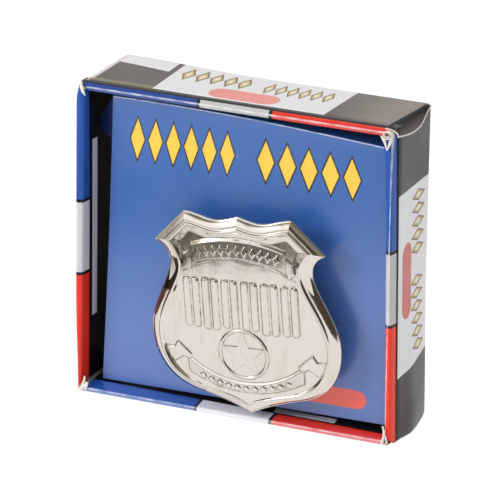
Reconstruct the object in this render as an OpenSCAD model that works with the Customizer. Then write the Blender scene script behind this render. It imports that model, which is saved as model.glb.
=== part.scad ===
// Police shield badge of plated cast metal, pinned to a folded insert card
// that stands in an open-fronted display box of folded board.
// Millimetres, +Z up, X to the right, the display side faces -Y.
// The origin is the centre of the box's base.

/* [Box] */
// Outside width of the box
box_w = 108; // [104:0.5:120]
// Outside height of the box
box_h = 104.3; // [102:0.1:115]
// Outside depth of the box
box_d = 28.6; // [26:0.1:40]
// Thickness of the folded board
board_t = 0.8; // [0.6:0.1:1]
// Width of the rolled band round the open front
roll_w = 2.8; // [2.6:0.1:3.2]
// How far the inner wall of each roll reaches back from the front
roll_d = 24; // [18:0.5:25]

/* [Insert card] */
// Width of the card's front panel
card_w = 94.5; // [93:0.5:95]
// Height of the card's front panel
card_h = 93.6; // [92:0.1:94]
// Thickness of the card
card_t = 0.6; // [0.5:0.1:0.8]
// How far the front panel stands behind the box's front plane
card_y = 4.4; // [4:0.1:6]
// How far the panel is turned in its plane, clockwise from the front
card_turn = 1.1; // [0:0.1:1.2]
// Depth of the flap folded back along the card's top
flap_d = 20; // [12:0.5:21]
// Drop of the tabs at the ends of that flap
tab_h = 11; // [8:0.5:14]

/* [Badge] */
// Height of the badge's outer edge above its back
edge_t = 1.2; // [1:0.1:1.3]
// Height of the sloping rim's inner edge above the back
rim_h = 2.3; // [2.1:0.05:2.4]
// Height of the bead that runs round the inside of the rim
bead_h = 2.75; // [2.6:0.05:2.9]
// Half width of that bead
bead_r = 0.45; // [0.4:0.05:0.6]
// Height of the field's crown above the back
crown_h = 3.5; // [3.3:0.1:3.8]
// Radius of the field's dome across the badge
dome_r = 200; // [190:5:260]
// How much longer the dome is up the badge than across it
dome_long = 1.3; // [1.2:0.05:1.4]
// Thickness of the field's wall
wall_t = 1.3; // [1.1:0.1:1.5]
// How far the ribbons, pales, ring and star stand above the field
relief_t = 0.55; // [0.4:0.05:0.7]

/* [Badge on the card] */
// Badge centre, to the right of the box's centre
badge_x = 5.0; // [4.5:0.1:5.5]
// Badge centre, above the box's base
badge_z = 39.2; // [39:0.1:41]
// How far the badge's back plane stands in front of the box's front plane
badge_out = 1.6; // [1.5:0.1:2]
// Turn of the badge in its own plane, anticlockwise from the front
badge_turn = 4.5; // [3:0.1:6]
// Lean of the badge's top towards the front
badge_lean = 2.2; // [1.6:0.1:2.4]
// Swing of the badge's right side towards the front
badge_swing = 1.2; // [0:0.1:1.6]

/* [Hidden] */
front_y = -box_d / 2;          // the box's front plane

// ---------- box ----------
// four slabs round the box's opening, as wide as reach from the outside
// inward and as deep as depth from the front plane back
module frame_of(reach, depth, y0 = 0) {
    translate([-box_w / 2, front_y + y0, 0]) cube([reach, depth, box_h]);
    translate([box_w / 2 - reach, front_y + y0, 0]) cube([reach, depth, box_h]);
    translate([-box_w / 2, front_y + y0, 0]) cube([box_w, depth, reach]);
    translate([-box_w / 2, front_y + y0, box_h - reach]) cube([box_w, depth, reach]);
}

// the open mitre left where two rolls meet at a front corner
module corner_mitre() {
    rotate([90, 0, 0]) translate([0, 0, -board_t - 0.5]) linear_extrude(board_t + 1)
        polygon([[board_t, board_t], [roll_w - 1.2, board_t], [roll_w - board_t, roll_w - board_t], [board_t, roll_w + 1]]);
}

module box() {
    color("#3f63b5") difference() {
        union() {
            frame_of(board_t, box_d);                  // outer walls
            frame_of(roll_w, board_t);                 // front bands
            difference() {                             // inner walls of the rolls
                translate([-box_w / 2 + roll_w - board_t, front_y, roll_w - board_t])
                    cube([box_w - 2 * roll_w + 2 * board_t, roll_d, box_h - 2 * roll_w + 2 * board_t]);
                translate([-box_w / 2 + roll_w, front_y - 1, roll_w])
                    cube([box_w - 2 * roll_w, roll_d + 2, box_h - 2 * roll_w]);
            }
            translate([-box_w / 2, front_y + box_d - board_t, 0]) cube([box_w, board_t, box_h]);
        }
        for (sx = [0, 1], sz = [0, 1])
            translate([(sx ? 1 : -1) * box_w / 2, front_y, sz ? box_h : 0])
                mirror([sx, 0, 0]) mirror([0, 0, sz]) corner_mitre();
    }
}

// ---------- insert card ----------
// the two slots that the clasp passes through, in the card's own plane
slot_x = 11;
slot_v = 10;
slot = [3.4, 5.4];

module in_card() {
    translate([0, front_y + card_y, roll_w + 0.15 + card_w / 2 * sin(card_turn)])
        rotate([0, card_turn, 0]) children();
}

// a tab with one round corner, hanging from the end of the top flap
module end_tab() {
    rotate([90, 0, 90]) linear_extrude(card_t) difference() {
        square([flap_d - 3, tab_h]);
        difference() {
            translate([-1, -1]) square([6, 6]);
            translate([5, 5]) circle(r = 5, $fn = 48);
        }
    }
}

module insert_card() {
    color("#4b78c4") difference() {
        in_card() {
            translate([-card_w / 2, 0, 0]) cube([card_w, card_t, card_h]);
            translate([-card_w / 2, 0, card_h - card_t]) cube([card_w, flap_d, card_t]);
            translate([-card_w / 2, 2, card_h - tab_h]) end_tab();
            translate([card_w / 2 - card_t, 2, card_h - tab_h]) end_tab();
        }
        on_badge() for (s = [-1, 1])
            translate([s * slot_x - slot[0] / 2, slot_v - slot[1] / 2, -15]) cube([slot[0], slot[1], 13]);
    }
}

// ---------- badge ----------
module on_badge() {
    translate([badge_x, front_y - badge_out, badge_z])
        rotate([0, -badge_turn, 0]) rotate([90, 0, 0])
            rotate([0, -badge_swing, 0]) rotate([badge_lean, 0, 0]) children();
}

// Half outlines from the top centre down to the bottom tip, as Bezier arcs.
// columns: first handle [u, v], second handle [u, v], end point [u, v], steps
EDGE_START = [0, 30.2];
EDGE = [
    [[2.6, 29.5], [4.6, 28.6], [7.6, 28.6], 5],      // centre peak to scallop
    [[11.4, 28.6], [14.4, 30.5], [18.3, 30.7], 6],   // scallop to upper corner
    [[22.0, 27.1], [25.8, 23.5], [29.4, 20.0], 4],   // shoulder to ear
    [[26.0, 18.8], [24.4, 16.6], [24.4, 13.6], 4],   // ear to neck
    [[24.4, 7.6], [32.4, -1.5], [32.4, -10.5], 12],  // neck to widest point
    [[32.4, -20.3], [27.4, -27.4], [18.0, -29.7], 12], // round the belly
    [[10.5, -31.5], [5.0, -33.5], [0, -35.8], 7]     // in to the tip
];
BEAD_START = [0, 26.3];
BEAD = [
    [[2.6, 25.6], [4.6, 24.9], [7.4, 24.9], 5],
    [[11.0, 24.9], [13.6, 26.7], [17.4, 26.9], 6],
    [[19.6, 24.9], [21.7, 22.8], [23.8, 20.8], 4],
    [[21.6, 18.6], [20.4, 16.2], [20.4, 13.2], 4],
    [[20.4, 6.8], [28.9, -1.2], [28.9, -11.0], 12],
    [[28.9, -19.2], [24.6, -25.4], [16.2, -27.9], 12],
    [[9.4, -29.4], [4.4, -30.7], [0, -32.8], 7]
];
FIRST = 0;  // columns of the two tables
SECOND = 1;
END = 2;
STEPS = 3;

function bezier(a, b, c, d, t) =
    (1 - t) * (1 - t) * (1 - t) * a + 3 * t * (1 - t) * (1 - t) * b
    + 3 * t * t * (1 - t) * c + t * t * t * d;
function half_line(start, table) = [
    for (i = [0 : len(table) - 1], k = [0 : table[i][STEPS] - 1])
        bezier(i == 0 ? start : table[i - 1][END], table[i][FIRST], table[i][SECOND],
               table[i][END], k / table[i][STEPS])
];
// the whole outline, clockwise from the top centre
function whole(start, table) =
    let (right = half_line(start, table), tip = table[len(table) - 1][END])
    [for (p = right) p, tip, for (i = [len(right) - 1 : -1 : 1]) [-right[i][0], right[i][1]]];

function unit(v) = v / norm(v);
function inward(a, b) = let (d = unit(b - a)) [d[1], -d[0]];
// moves an outline inward by d, mitred at its corners
function moved(p, d) = let (n = len(p)) [
    for (i = [0 : n - 1])
        let (before = inward(p[(i + n - 1) % n], p[i]), after = inward(p[i], p[(i + 1) % n]))
        p[i] + d * (before + after) / (1 + before * after)
];
function lifted(p, w) = [for (q = p) [q[0], q[1], w]];

edge_line = whole(EDGE_START, EDGE);
bead_line = whole(BEAD_START, BEAD);

// a closed ring lofted through rings of points of equal count
module ring_loft(rings) {
    n = len(rings[0]);
    m = len(rings);
    polyhedron(
        points = [for (r = rings) each r],
        faces = [for (j = [0 : m - 1], i = [0 : n - 1])
            let (k = (i + 1) % n, l = (j + 1) % m)
            each [[j * n + i, j * n + k, l * n + i], [j * n + k, l * n + k, l * n + i]]],
        convexity = 8);
}

module rim() {
    ring_loft([
        lifted(edge_line, 0),
        lifted(edge_line, edge_t),
        lifted(moved(bead_line, -bead_r), rim_h),
        lifted(bead_line, bead_h),
        lifted(moved(bead_line, bead_r), rim_h),
        lifted(moved(bead_line, bead_r + 0.3), rim_h - 0.8),
        lifted(moved(bead_line, 1.2), 0.6),
        lifted(moved(bead_line, 1.2), 0)
    ]);
}

dome_v = -3;  // the crown of the dome lies below the badge's middle
dome_reach = 45;
module dome(h) {
    translate([0, dome_v]) scale([1, dome_long, 1]) rotate(1.7) rotate_extrude($fn = 72)
        polygon(concat([[0, -6]], [[dome_reach, -6]],
            [for (r = [dome_reach : -3 : 0]) [r, h - dome_r + sqrt(dome_r * dome_r - r * r)]]));
}
// the plan inside the bead, drawn in by a share of its size
module field_plan(share) { translate([0, dome_v]) scale(share) translate([0, -dome_v]) polygon(bead_line); }

// what stands above the field: a plan drawn by the children, under a dome
module raised(t) {
    intersection() {
        translate([0, 0, 0.3]) linear_extrude(5) children();
        dome(crown_h + t);
    }
}

// a band of a ring about [0, centre_v], cut upright at both ends
module band(centre_v, r0, r1, half_w, side) {
    a0 = asin(half_w / r0);
    a1 = asin(half_w / r1);
    n = 16;
    polygon(concat(
        [for (i = [0 : n]) let (a = -a0 + 2 * a0 * i / n) [r0 * sin(a), centre_v + side * r0 * cos(a)]],
        [for (i = [n : -1 : 0]) let (a = -a1 + 2 * a1 * i / n) [r1 * sin(a), centre_v + side * r1 * cos(a)]]));
}

// the two ribbons
// columns: centre, inner radius, outer radius, half width, side of the centre
RIBBONS = [
    [-34.2, 51.2, 56.8, 16.0, 1],
    [13.5, 37.6, 41.4, 19.6, -1]
];
// folded tails at the right end of each, as corners [u, v]
TAILS = [
    [[15.2, 18.4], [16.2, 18.2], [19.0, 16.4], [19.2, 13.4], [16.9, 11.6], [16.1, 14.8], [14.6, 15.2]],
    [[18.6, -17.2], [23.4, -13.0], [24.3, -15.2], [27.0, -15.3], [26.2, -18.6], [24.6, -20.4], [21.2, -17.9], [18.8, -19.4]]
];
module ribbons() {
    for (r = RIBBONS) band(r[0], r[1], r[2], r[3], r[4]);
    for (t = TAILS, s = [0, 1]) mirror([s, 0]) polygon(t);
}

// upright pales in the middle of the field
// columns: left edge, right edge, foot, head
PALES = [
    [-19.4, -14.2, -7.0, 9.5], [-12.8, -7.4, -7.6, 9.5], [-6.0, -0.8, -8.0, 9.5],
    [0.8, 6.0, -8.0, 9.5], [7.4, 12.8, -7.6, 9.5], [14.2, 19.4, -7.0, 9.5]
];
pale_r = 1.1;
module pale(p) {
    hull() for (x = [p[0] + pale_r, p[1] - pale_r], y = [p[2] + pale_r, p[3] - pale_r])
        translate([x, y]) circle(r = pale_r, $fn = 20);
}

// a row of lozenges along a ribbon, at equal angles about its centre
module lozenges(centre_v, r, count, step, side) {
    for (i = [0 : count - 1])
        translate([0, centre_v]) rotate(side * 90 + (i - (count - 1) / 2) * step)
            translate([r, 0]) hull() {
                translate([-1.1, 0]) circle(r = 0.25, $fn = 8);
                translate([1.1, 0]) circle(r = 0.25, $fn = 8);
                circle(r = 0.6, $fn = 8);
            }
}

star_v = -15;
ring_r = 8.1;
module star() {
    tips = [for (k = [0 : 9]) let (r = k % 2 == 0 ? 6.9 : 2.7, a = 90 + 36 * k)
        [r * cos(a), star_v + r * sin(a), crown_h - 0.5]];
    polyhedron(
        points = concat(tips, [[0, star_v, crown_h + 0.9], [0, star_v, crown_h - 0.8]]),
        faces = concat([for (k = [0 : 9]) [(k + 1) % 10, k, 10]], [for (k = [0 : 9]) [k, (k + 1) % 10, 11]]));
}

module badge_shield() {
    color("#d8d2c8") on_badge() {
        difference() {
            union() {
                rim();
                intersection() { linear_extrude(6) field_plan(0.972); dome(crown_h); }
                raised(relief_t) ribbons();
                for (p = PALES) raised(relief_t) pale(p);
                raised(relief_t + 0.35) lozenges(-34.2, 54, 11, 2.8, 1);
                raised(relief_t + 0.35) lozenges(13.5, 39.5, 13, 3.6, -1);
                raised(0.4) translate([0, star_v]) rotate(1.1) difference() {
                    circle(r = ring_r, $fn = 60);
                    circle(r = ring_r - 0.7, $fn = 60);
                }
                star();
            }
            // the dished back
            intersection() {
                translate([0, 0, -1]) linear_extrude(6) field_plan(0.935);
                dome(crown_h - wall_t);
            }
        }
    }
}

// ---------- pin clasp ----------
// one plain piece: a bar in the badge's hollow back, two legs through the
// card's slots and a pin across behind the card
bar_top = 1.3;
leg_end = -8.7;
module pin_clasp() {
    color("#b9b6ae") on_badge() {
        translate([-14, slot_v - 2.5, bar_top - 0.9]) cube([28, 5, 0.9]);
        for (s = [-1, 1])
            translate([s * slot_x - 1.2, slot_v - 2, leg_end]) cube([2.4, 4, bar_top - leg_end - 0.2]);
        translate([-14, slot_v, leg_end + 0.7]) rotate([0, 90, 0]) cylinder(r = 0.6, h = 28, $fn = 32);
    }
}

box();
insert_card();
pin_clasp();
badge_shield();
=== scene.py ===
import math

import bpy
import numpy as np
from mathutils import Matrix, Vector
from mathutils.geometry import delaunay_2d_cdt


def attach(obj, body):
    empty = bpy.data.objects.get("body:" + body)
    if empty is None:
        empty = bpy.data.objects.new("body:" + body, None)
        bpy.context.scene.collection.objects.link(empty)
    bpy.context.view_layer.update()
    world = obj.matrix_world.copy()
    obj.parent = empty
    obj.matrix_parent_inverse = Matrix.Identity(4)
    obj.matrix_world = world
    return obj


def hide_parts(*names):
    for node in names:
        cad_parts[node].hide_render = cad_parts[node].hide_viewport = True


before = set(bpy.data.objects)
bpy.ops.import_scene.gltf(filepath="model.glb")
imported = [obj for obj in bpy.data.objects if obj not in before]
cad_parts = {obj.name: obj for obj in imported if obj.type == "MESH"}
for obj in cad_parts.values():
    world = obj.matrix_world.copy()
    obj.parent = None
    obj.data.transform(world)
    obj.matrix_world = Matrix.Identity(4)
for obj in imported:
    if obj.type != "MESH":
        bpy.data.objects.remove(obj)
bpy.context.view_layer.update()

# Everything below is drawn in millimetres and scaled to metres in mesh().
MM = 0.001
FRONT_Y = -14.3          # the box's front plane
BOX_W, BOX_H, BOX_D = 108.0, 104.3, 28.6


# ---------------------------------------------------------------- helpers
def mesh(name, verts, faces, mats, ids=None, smooth=True, sharp=None, normals=None):
    me = bpy.data.meshes.new(name)
    me.from_pydata([tuple(float(c) * MM for c in v) for v in verts], [], [tuple(int(i) for i in f) for f in faces])
    me.update()
    for m in mats:
        me.materials.append(m)
    if ids is not None:
        me.polygons.foreach_set("material_index", np.asarray(ids, dtype=np.int32))
    me.polygons.foreach_set("use_smooth", np.full(len(me.polygons), smooth))
    if sharp is not None:
        me.set_sharp_from_angle(angle=math.radians(sharp))
    if normals is not None:
        me.normals_split_custom_set(normals)
    ob = bpy.data.objects.new(name, me)
    bpy.context.scene.collection.objects.link(ob)
    return ob


def smoothstep(a, b, x):
    t = np.clip((np.asarray(x, float) - a) / (b - a), 0, 1)
    return t * t * (3 - 2 * t)


class Shader:
    """A small writer of node graphs for one material."""

    def __init__(self, name):
        self.mat = bpy.data.materials.new(name)
        self.mat.use_nodes = True
        self.t = self.mat.node_tree
        self.bsdf = self.t.nodes["Principled BSDF"]

    def node(self, kind, **props):
        n = self.t.nodes.new(kind)
        for k, v in props.items():
            setattr(n, k, v)
        return n

    def put(self, socket, value):
        if isinstance(value, bpy.types.NodeSocket):
            self.t.links.new(value, socket)
        else:
            socket.default_value = value

    def math(self, op, a, b=None, c=None, clamp=False):
        n = self.node("ShaderNodeMath", operation=op, use_clamp=clamp)
        for i, v in enumerate((a, b, c)):
            if v is not None:
                self.put(n.inputs[i], v)
        return n.outputs[0]

    def object_xyz(self):
        tc = self.node("ShaderNodeTexCoord")
        sep = self.node("ShaderNodeSeparateXYZ")
        self.t.links.new(tc.outputs["Object"], sep.inputs[0])
        self.where = tc.outputs["Object"]
        return [self.math("MULTIPLY", sep.outputs[i], 1000.0) for i in range(3)]

    def uv(self):
        n = self.node("ShaderNodeUVMap", uv_map="flat")
        sep = self.node("ShaderNodeSeparateXYZ")
        self.t.links.new(n.outputs[0], sep.inputs[0])
        return [self.math("MULTIPLY", sep.outputs[i], 100.0) for i in range(2)]

    def noise(self, scale, detail=2.0, rough=0.5, vector=None, distortion=0.0):
        n = self.node("ShaderNodeTexNoise")
        n.inputs["Scale"].default_value = scale
        n.inputs["Detail"].default_value = detail
        n.inputs["Roughness"].default_value = rough
        n.inputs["Distortion"].default_value = distortion
        if vector is None:
            tc = self.node("ShaderNodeTexCoord")
            vector = tc.outputs["Object"]
        self.t.links.new(vector, n.inputs["Vector"])
        return n.outputs["Fac"]

    def mapped(self, scale):
        """Object coordinates stretched by scale, for streaks."""
        tc = self.node("ShaderNodeTexCoord")
        m = self.node("ShaderNodeMapping")
        m.inputs["Scale"].default_value = scale
        self.t.links.new(tc.outputs["Object"], m.inputs["Vector"])
        return m.outputs[0]

    def mix(self, fac, a, b):
        n = self.node("ShaderNodeMix", data_type="RGBA")
        self.put(n.inputs[0], fac)
        for i, v in ((6, a), (7, b)):
            self.put(n.inputs[i], v if isinstance(v, bpy.types.NodeSocket) else (*v[:3], 1.0))
        return n.outputs[2]

    def step(self, x, at, soft=0.08):
        """0 below at, 1 above it, over a width of soft."""
        n = self.node("ShaderNodeMapRange", interpolation_type="SMOOTHSTEP")
        self.put(n.inputs[0], x)
        n.inputs[1].default_value = at - soft / 2
        n.inputs[2].default_value = at + soft / 2
        return n.outputs[0]

    def remap(self, x, a, b, c, d):
        n = self.node("ShaderNodeMapRange")
        self.put(n.inputs[0], x)
        for i, v in enumerate((a, b, c, d)):
            n.inputs[i + 1].default_value = v
        return n.outputs[0]

    def bump(self, height, strength, distance):
        n = self.node("ShaderNodeBump")
        n.inputs["Strength"].default_value = strength
        n.inputs["Distance"].default_value = distance
        self.put(n.inputs["Height"], height)
        self.t.links.new(n.outputs[0], self.bsdf.inputs["Normal"])

    def set(self, **sockets):
        for k, v in sockets.items():
            self.put(self.bsdf.inputs[k.replace("_", " ")], v)
        return self.mat


def rgb(r, g, b):
    """An 8-bit display colour as a linear one."""
    f = lambda c: c / 12.92 if c <= 0.04045 else ((c + 0.055) / 1.055) ** 2.4
    return tuple(f(c / 255.0) for c in (r, g, b))


# ---------------------------------------------------------------- camera
scene = bpy.context.scene
PITCH, YAW, ROLL = 0.363555464, 0.422023231, 0.010263414
CAM_T = np.array([-5.50412941, 53.0905556, 1112.49210])
_rx = np.array([[1, 0, 0], [0, math.cos(PITCH), -math.sin(PITCH)], [0, math.sin(PITCH), math.cos(PITCH)]])
_ry = np.array([[math.cos(YAW), 0, math.sin(YAW)], [0, 1, 0], [-math.sin(YAW), 0, math.cos(YAW)]])
_rz = np.array([[math.cos(ROLL), -math.sin(ROLL), 0], [math.sin(ROLL), math.cos(ROLL), 0], [0, 0, 1]])
CAM_M = (_rz @ _rx @ _ry) @ np.array([[1, 0, 0], [0, 0, -1], [0, 1, 0]], float)
cam_at = -CAM_M.T @ CAM_T + np.array([0, FRONT_Y, 0])
cam_data = bpy.data.cameras.new("camera")
cam_data.lens = 252.0
cam_data.sensor_width = 36.0
cam_data.clip_start = 0.05
camera = bpy.data.objects.new("camera", cam_data)
scene.collection.objects.link(camera)
cam_world = Matrix.Identity(4)
for col, vec in enumerate((CAM_M[0], -CAM_M[1], -CAM_M[2])):
    for row in range(3):
        cam_world[row][col] = vec[row]
for row in range(3):
    cam_world[row][3] = cam_at[row] * MM
camera.matrix_world = cam_world
scene.camera = camera
scene.view_settings.view_transform = "Standard"
scene.view_settings.look = "None"


# ---------------------------------------------------------------- materials
def metal_material():
    s = Shader("badge_nickel")
    cloud = s.noise(75.0, 3.0, 0.55)
    fine = s.noise(900.0, 2.0, 0.6)
    speck = s.noise(620.0, 3.0, 0.7)
    streak = s.noise(240.0, 3.0, 0.6, s.mapped((1.0, 1.0, 0.3)))
    dark = s.node("ShaderNodeAttribute", attribute_name="patina_and_painted_shade").outputs["Fac"]
    # the dark values, patina and painted shade, gather in spots, so the mask is broken up by two noises
    spots = s.remap(s.math("ADD", s.math("MULTIPLY", speck, 0.6), s.math("MULTIPLY", streak, 0.4)), 0.40, 0.62, 0.25, 1.35)
    mask = s.math("MULTIPLY", dark, spots, clamp=True)
    colour = s.mix(cloud, (0.67, 0.62, 0.565), (0.73, 0.685, 0.63))
    colour = s.mix(s.math("MULTIPLY", s.step(streak, 0.6, 0.25), 0.45), colour, (0.60, 0.55, 0.475))
    # brown where the attribute is dark: patina in the hollows, and painted reflected shade where the badge code adds it
    colour = s.mix(mask, colour, (0.145, 0.120, 0.075))
    # near black where the value passes about 1.2: painted dark reflection, mostly on the left neck's bevel
    colour = s.mix(s.step(dark, 1.7, 1.0), colour, (0.035, 0.030, 0.022))
    rough = s.math("ADD", s.remap(streak, 0.25, 0.8, 0.08, 0.17), s.math("MULTIPLY", mask, 0.16))
    low = s.noise(120.0, 1.0, 0.4)
    height = s.math("ADD", s.math("MULTIPLY", fine, 0.022), s.math("ADD", s.math("MULTIPLY", cloud, 0.8), s.math("MULTIPLY", low, 0.8)))
    s.bump(height, 0.42, 0.0004)
    return s.set(Base_Color=colour, Metallic=1.0, Roughness=rough)


def steel_material():
    s = Shader("clasp_steel")
    n = s.noise(700.0, 3.0, 0.6, s.mapped((1.0, 1.0, 6.0)))
    s.bump(n, 0.15, 0.0002)
    return s.set(Base_Color=s.mix(n, (0.42, 0.40, 0.37), (0.60, 0.58, 0.54)), Metallic=1.0,
                 Roughness=s.remap(n, 0.2, 0.8, 0.25, 0.42))


def raw_material():
    s = Shader("raw_board")
    n = s.noise(1400.0, 4.0, 0.65)
    s.bump(n, 0.5, 0.0003)
    return s.set(Base_Color=s.mix(n, rgb(205, 196, 182), rgb(245, 241, 234)), Roughness=0.92,
                 Specular_IOR_Level=0.2)


def board_finish(s, colour, gloss=0.5, rough=(0.30, 0.44), bump=0.10, tint=(1.0, 1.0, 1.0)):
    """The printed board's faint tooth, wear and sheen over a print colour."""
    tooth = s.noise(1700.0, 3.0, 0.6)
    cloud = s.noise(60.0, 1.0, 0.5)
    s.bump(s.math("ADD", s.math("MULTIPLY", tooth, 0.3), s.math("MULTIPLY", cloud, 1.5)), bump, 0.0004)
    return s.set(Base_Color=colour, Roughness=s.remap(cloud, 0.0, 1.0, 1.4 * rough[0] - 0.4 * rough[1], 1.4 * rough[1] - 0.4 * rough[0]),
                 Specular_IOR_Level=gloss, Specular_Tint=(*tint, 1.0))


BLUE, WHITE, RED = rgb(38, 84, 168), rgb(232, 232, 236), rgb(232, 52, 30)
BLACK = (0.006, 0.006, 0.009)


def band_colour(s, x, cuts, colours, black=BLACK, line=1.1):
    """Colour bands along x, parted by thin black lines at the cuts."""
    out = colours[0]
    for at, c in zip(cuts, colours[1:]):
        out = s.mix(s.step(x, at, 0.1), out, c)
    for at in cuts:
        d = s.math("ABSOLUTE", s.math("SUBTRACT", x, at))
        out = s.mix(s.step(d, line / 2, 0.12), black, out)
    return out


def roll_material(name, along, cuts, colours, inner_end, outer_end, across, mid, sign, stripe=None, white=WHITE, edge=None, under=None):
    """Print of one rolled edge. along and across are 0 for X and 2 for Z.
    The colour wraps back to inner_end on the inner side and to outer_end on
    the outer side, and black follows. stripe is (from, to, depth, depth)."""
    s = Shader(name)
    xyz = s.object_xyz()
    depth = s.math("SUBTRACT", xyz[1], FRONT_Y)
    colour = band_colour(s, xyz[along], cuts, [white if c == WHITE else c for c in colours])
    if edge:        # painted highlight: a light line along the front fold, broken up by noise
        wear = s.math("SUBTRACT", 1.0, s.step(s.math("ABSOLUTE", s.math("SUBTRACT", xyz[across], edge[0])), edge[1] / 2, edge[1] * 0.8))
        wear = s.math("MULTIPLY", wear, s.remap(s.noise(260.0, 3.0, 0.6), 0.3, 0.6, 0.15, 0.7))
        colour = s.mix(wear, colour, rgb(226, 230, 240))
    if under:       # painted reflection of the floor: paler along the foot
        low = s.math("SUBTRACT", 1.0, s.step(xyz[across], under, 0.3))
        colour = s.mix(s.math("MULTIPLY", low, 0.3), colour, rgb(206, 212, 228))
    # which side of the roll's middle a point lies on: 1 on the outer side
    outer = s.step(s.math("MULTIPLY", s.math("SUBTRACT", xyz[across], mid), sign), 0.0, 0.1)
    end = s.math("ADD", inner_end, s.math("MULTIPLY", outer, outer_end - inner_end))
    past = s.step(s.math("SUBTRACT", depth, end), 0.0, 0.15)
    colour = s.mix(past, colour, BLACK)
    if stripe:
        a, b, d0, d1 = stripe
        inside = s.math("MULTIPLY", s.math("MULTIPLY", s.step(xyz[along], a, 0.2), s.math("SUBTRACT", 1.0, s.step(xyz[along], b, 0.2))),
                        s.math("MULTIPLY", s.step(depth, d0, 0.2), s.math("SUBTRACT", 1.0, s.step(depth, d1, 0.2))))
        inside = s.math("MULTIPLY", inside, s.math("SUBTRACT", 1.0, outer))
        colour = s.mix(inside, colour, rgb(205, 205, 225))
    return board_finish(s, colour, gloss=0.32 if along == 2 else 0.6, rough=(0.16, 0.24), bump=0.08)


def lozenge_row(s, x, y, x0, x1, count, y0, y1, fill, edge):
    """Masks of a row of upright lozenges between x0 and x1: (body, outline)."""
    pitch = (x1 - x0) / count
    cell = s.math("SUBTRACT", s.math("FRACT", s.math("DIVIDE", s.math("SUBTRACT", x, x0), pitch)), 0.5)
    dx = s.math("DIVIDE", s.math("MULTIPLY", s.math("ABSOLUTE", cell), pitch), fill * pitch / 2)
    dy = s.math("DIVIDE", s.math("ABSOLUTE", s.math("SUBTRACT", y, (y0 + y1) / 2)), (y1 - y0) / 2)
    d = s.math("ADD", dx, dy)
    inside = s.math("MULTIPLY", s.math("GREATER_THAN", x, x0), s.math("LESS_THAN", x, x1))
    body = s.math("MULTIPLY", s.math("SUBTRACT", 1.0, s.step(d, 1.0 - edge, 0.04)), inside)
    line = s.math("MULTIPLY", s.math("SUBTRACT", 1.0, s.step(d, 1.0, 0.04)), inside)
    return body, line


def bar_mask(s, x, y, x0, x1, y0, y1, soft=0.3):
    """Mask of a plain bar with round ends."""
    r = (y1 - y0) / 2
    cx = s.math("SUBTRACT", s.math("ABSOLUTE", s.math("SUBTRACT", x, (x0 + x1) / 2)), (x1 - x0) / 2 - r)
    cx = s.math("MAXIMUM", cx, 0.0)
    cy = s.math("SUBTRACT", y, (y0 + y1) / 2)
    d = s.math("SQRT", s.math("ADD", s.math("MULTIPLY", cx, cx), s.math("MULTIPLY", cy, cy)))
    return s.math("SUBTRACT", 1.0, s.step(d, r, soft))


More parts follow.
